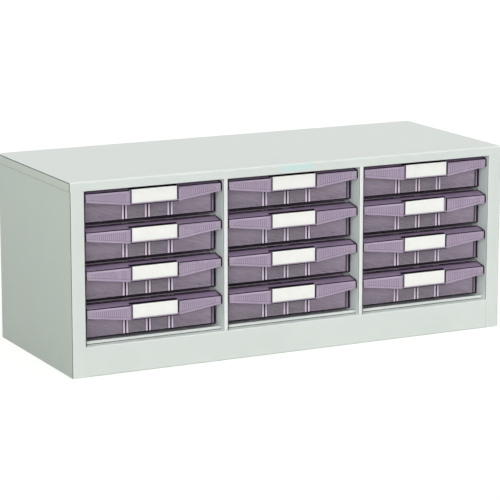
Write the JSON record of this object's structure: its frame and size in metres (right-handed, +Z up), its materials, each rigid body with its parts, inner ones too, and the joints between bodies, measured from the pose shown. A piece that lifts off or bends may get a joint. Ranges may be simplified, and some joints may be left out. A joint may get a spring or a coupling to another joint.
{
  "type": "parts drawer cabinet",
  "caption": "Low steel cabinet with columns of translucent smoke plastic drawers that slide out on runners, with hooded pulls and label cards.",
  "frame": {"origin": "bottom centre of the cabinet, on the surface it stands on", "axes": "+X to the right along the width, the drawers open towards -Y, +Z up"},
  "size_m": [0.88, 0.35, 0.35],
  "materials": {
    "steel": "light grey-green baked enamel",
    "runner_steel": "light grey enamel",
    "rivet": "plain",
    "smoke_plastic": "translucent purple smoke",
    "card": "plain white card"
  },
  "bodies": {
    "cabinet": {"top_panel": "steel", "kick_panel": "steel", "floor_panel": "steel", "back_panel": "steel", "left_side_panel": "steel", "right_side_panel": "steel", "left_liner": "steel", "right_liner": "steel", "divider_1_panel": "steel", "divider_2_panel": "steel", "divider_1_channel": "steel", "divider_2_channel": "steel", "left_liner_runners": "runner_steel", "divider_1_runners": "runner_steel", "divider_2_runners": "runner_steel", "right_liner_runners": "runner_steel", "back_rivets": "rivet"},
    "drawer_r1_c1": {"tray_r1_c1": "smoke_plastic", "card_r1_c1": "card"},
    "drawer_r1_c2": {"tray_r1_c2": "smoke_plastic", "card_r1_c2": "card"},
    "drawer_r1_c3": {"tray_r1_c3": "smoke_plastic", "card_r1_c3": "card"},
    "drawer_r2_c1": {"tray_r2_c1": "smoke_plastic", "card_r2_c1": "card"},
    "drawer_r2_c2": {"tray_r2_c2": "smoke_plastic", "card_r2_c2": "card"},
    "drawer_r2_c3": {"tray_r2_c3": "smoke_plastic", "card_r2_c3": "card"},
    "drawer_r3_c1": {"tray_r3_c1": "smoke_plastic", "card_r3_c1": "card"},
    "drawer_r3_c2": {"tray_r3_c2": "smoke_plastic", "card_r3_c2": "card"},
    "drawer_r3_c3": {"tray_r3_c3": "smoke_plastic", "card_r3_c3": "card"},
    "drawer_r4_c1": {"tray_r4_c1": "smoke_plastic", "card_r4_c1": "card"},
    "drawer_r4_c2": {"tray_r4_c2": "smoke_plastic", "card_r4_c2": "card"},
    "drawer_r4_c3": {"tray_r4_c3": "smoke_plastic", "card_r4_c3": "card"}
  },
  "joints": [
    {"name": "drawer_r1_c1_slide", "type": "slide", "parent": "cabinet", "child": "drawer_r1_c1", "axis": [0, -1, 0], "range_m": [0, 0.24]},
    {"name": "drawer_r1_c2_slide", "type": "slide", "parent": "cabinet", "child": "drawer_r1_c2", "axis": [0, -1, 0], "range_m": [0, 0.24]},
    {"name": "drawer_r1_c3_slide", "type": "slide", "parent": "cabinet", "child": "drawer_r1_c3", "axis": [0, -1, 0], "range_m": [0, 0.24]},
    {"name": "drawer_r2_c1_slide", "type": "slide", "parent": "cabinet", "child": "drawer_r2_c1", "axis": [0, -1, 0], "range_m": [0, 0.24]},
    {"name": "drawer_r2_c2_slide", "type": "slide", "parent": "cabinet", "child": "drawer_r2_c2", "axis": [0, -1, 0], "range_m": [0, 0.24]},
    {"name": "drawer_r2_c3_slide", "type": "slide", "parent": "cabinet", "child": "drawer_r2_c3", "axis": [0, -1, 0], "range_m": [0, 0.24]},
    {"name": "drawer_r3_c1_slide", "type": "slide", "parent": "cabinet", "child": "drawer_r3_c1", "axis": [0, -1, 0], "range_m": [0, 0.24]},
    {"name": "drawer_r3_c2_slide", "type": "slide", "parent": "cabinet", "child": "drawer_r3_c2", "axis": [0, -1, 0], "range_m": [0, 0.24]},
    {"name": "drawer_r3_c3_slide", "type": "slide", "parent": "cabinet", "child": "drawer_r3_c3", "axis": [0, -1, 0], "range_m": [0, 0.24]},
    {"name": "drawer_r4_c1_slide", "type": "slide", "parent": "cabinet", "child": "drawer_r4_c1", "axis": [0, -1, 0], "range_m": [0, 0.24]},
    {"name": "drawer_r4_c2_slide", "type": "slide", "parent": "cabinet", "child": "drawer_r4_c2", "axis": [0, -1, 0], "range_m": [0, 0.24]},
    {"name": "drawer_r4_c3_slide", "type": "slide", "parent": "cabinet", "child": "drawer_r4_c3", "axis": [0, -1, 0], "range_m": [0, 0.24]}
  ]
}
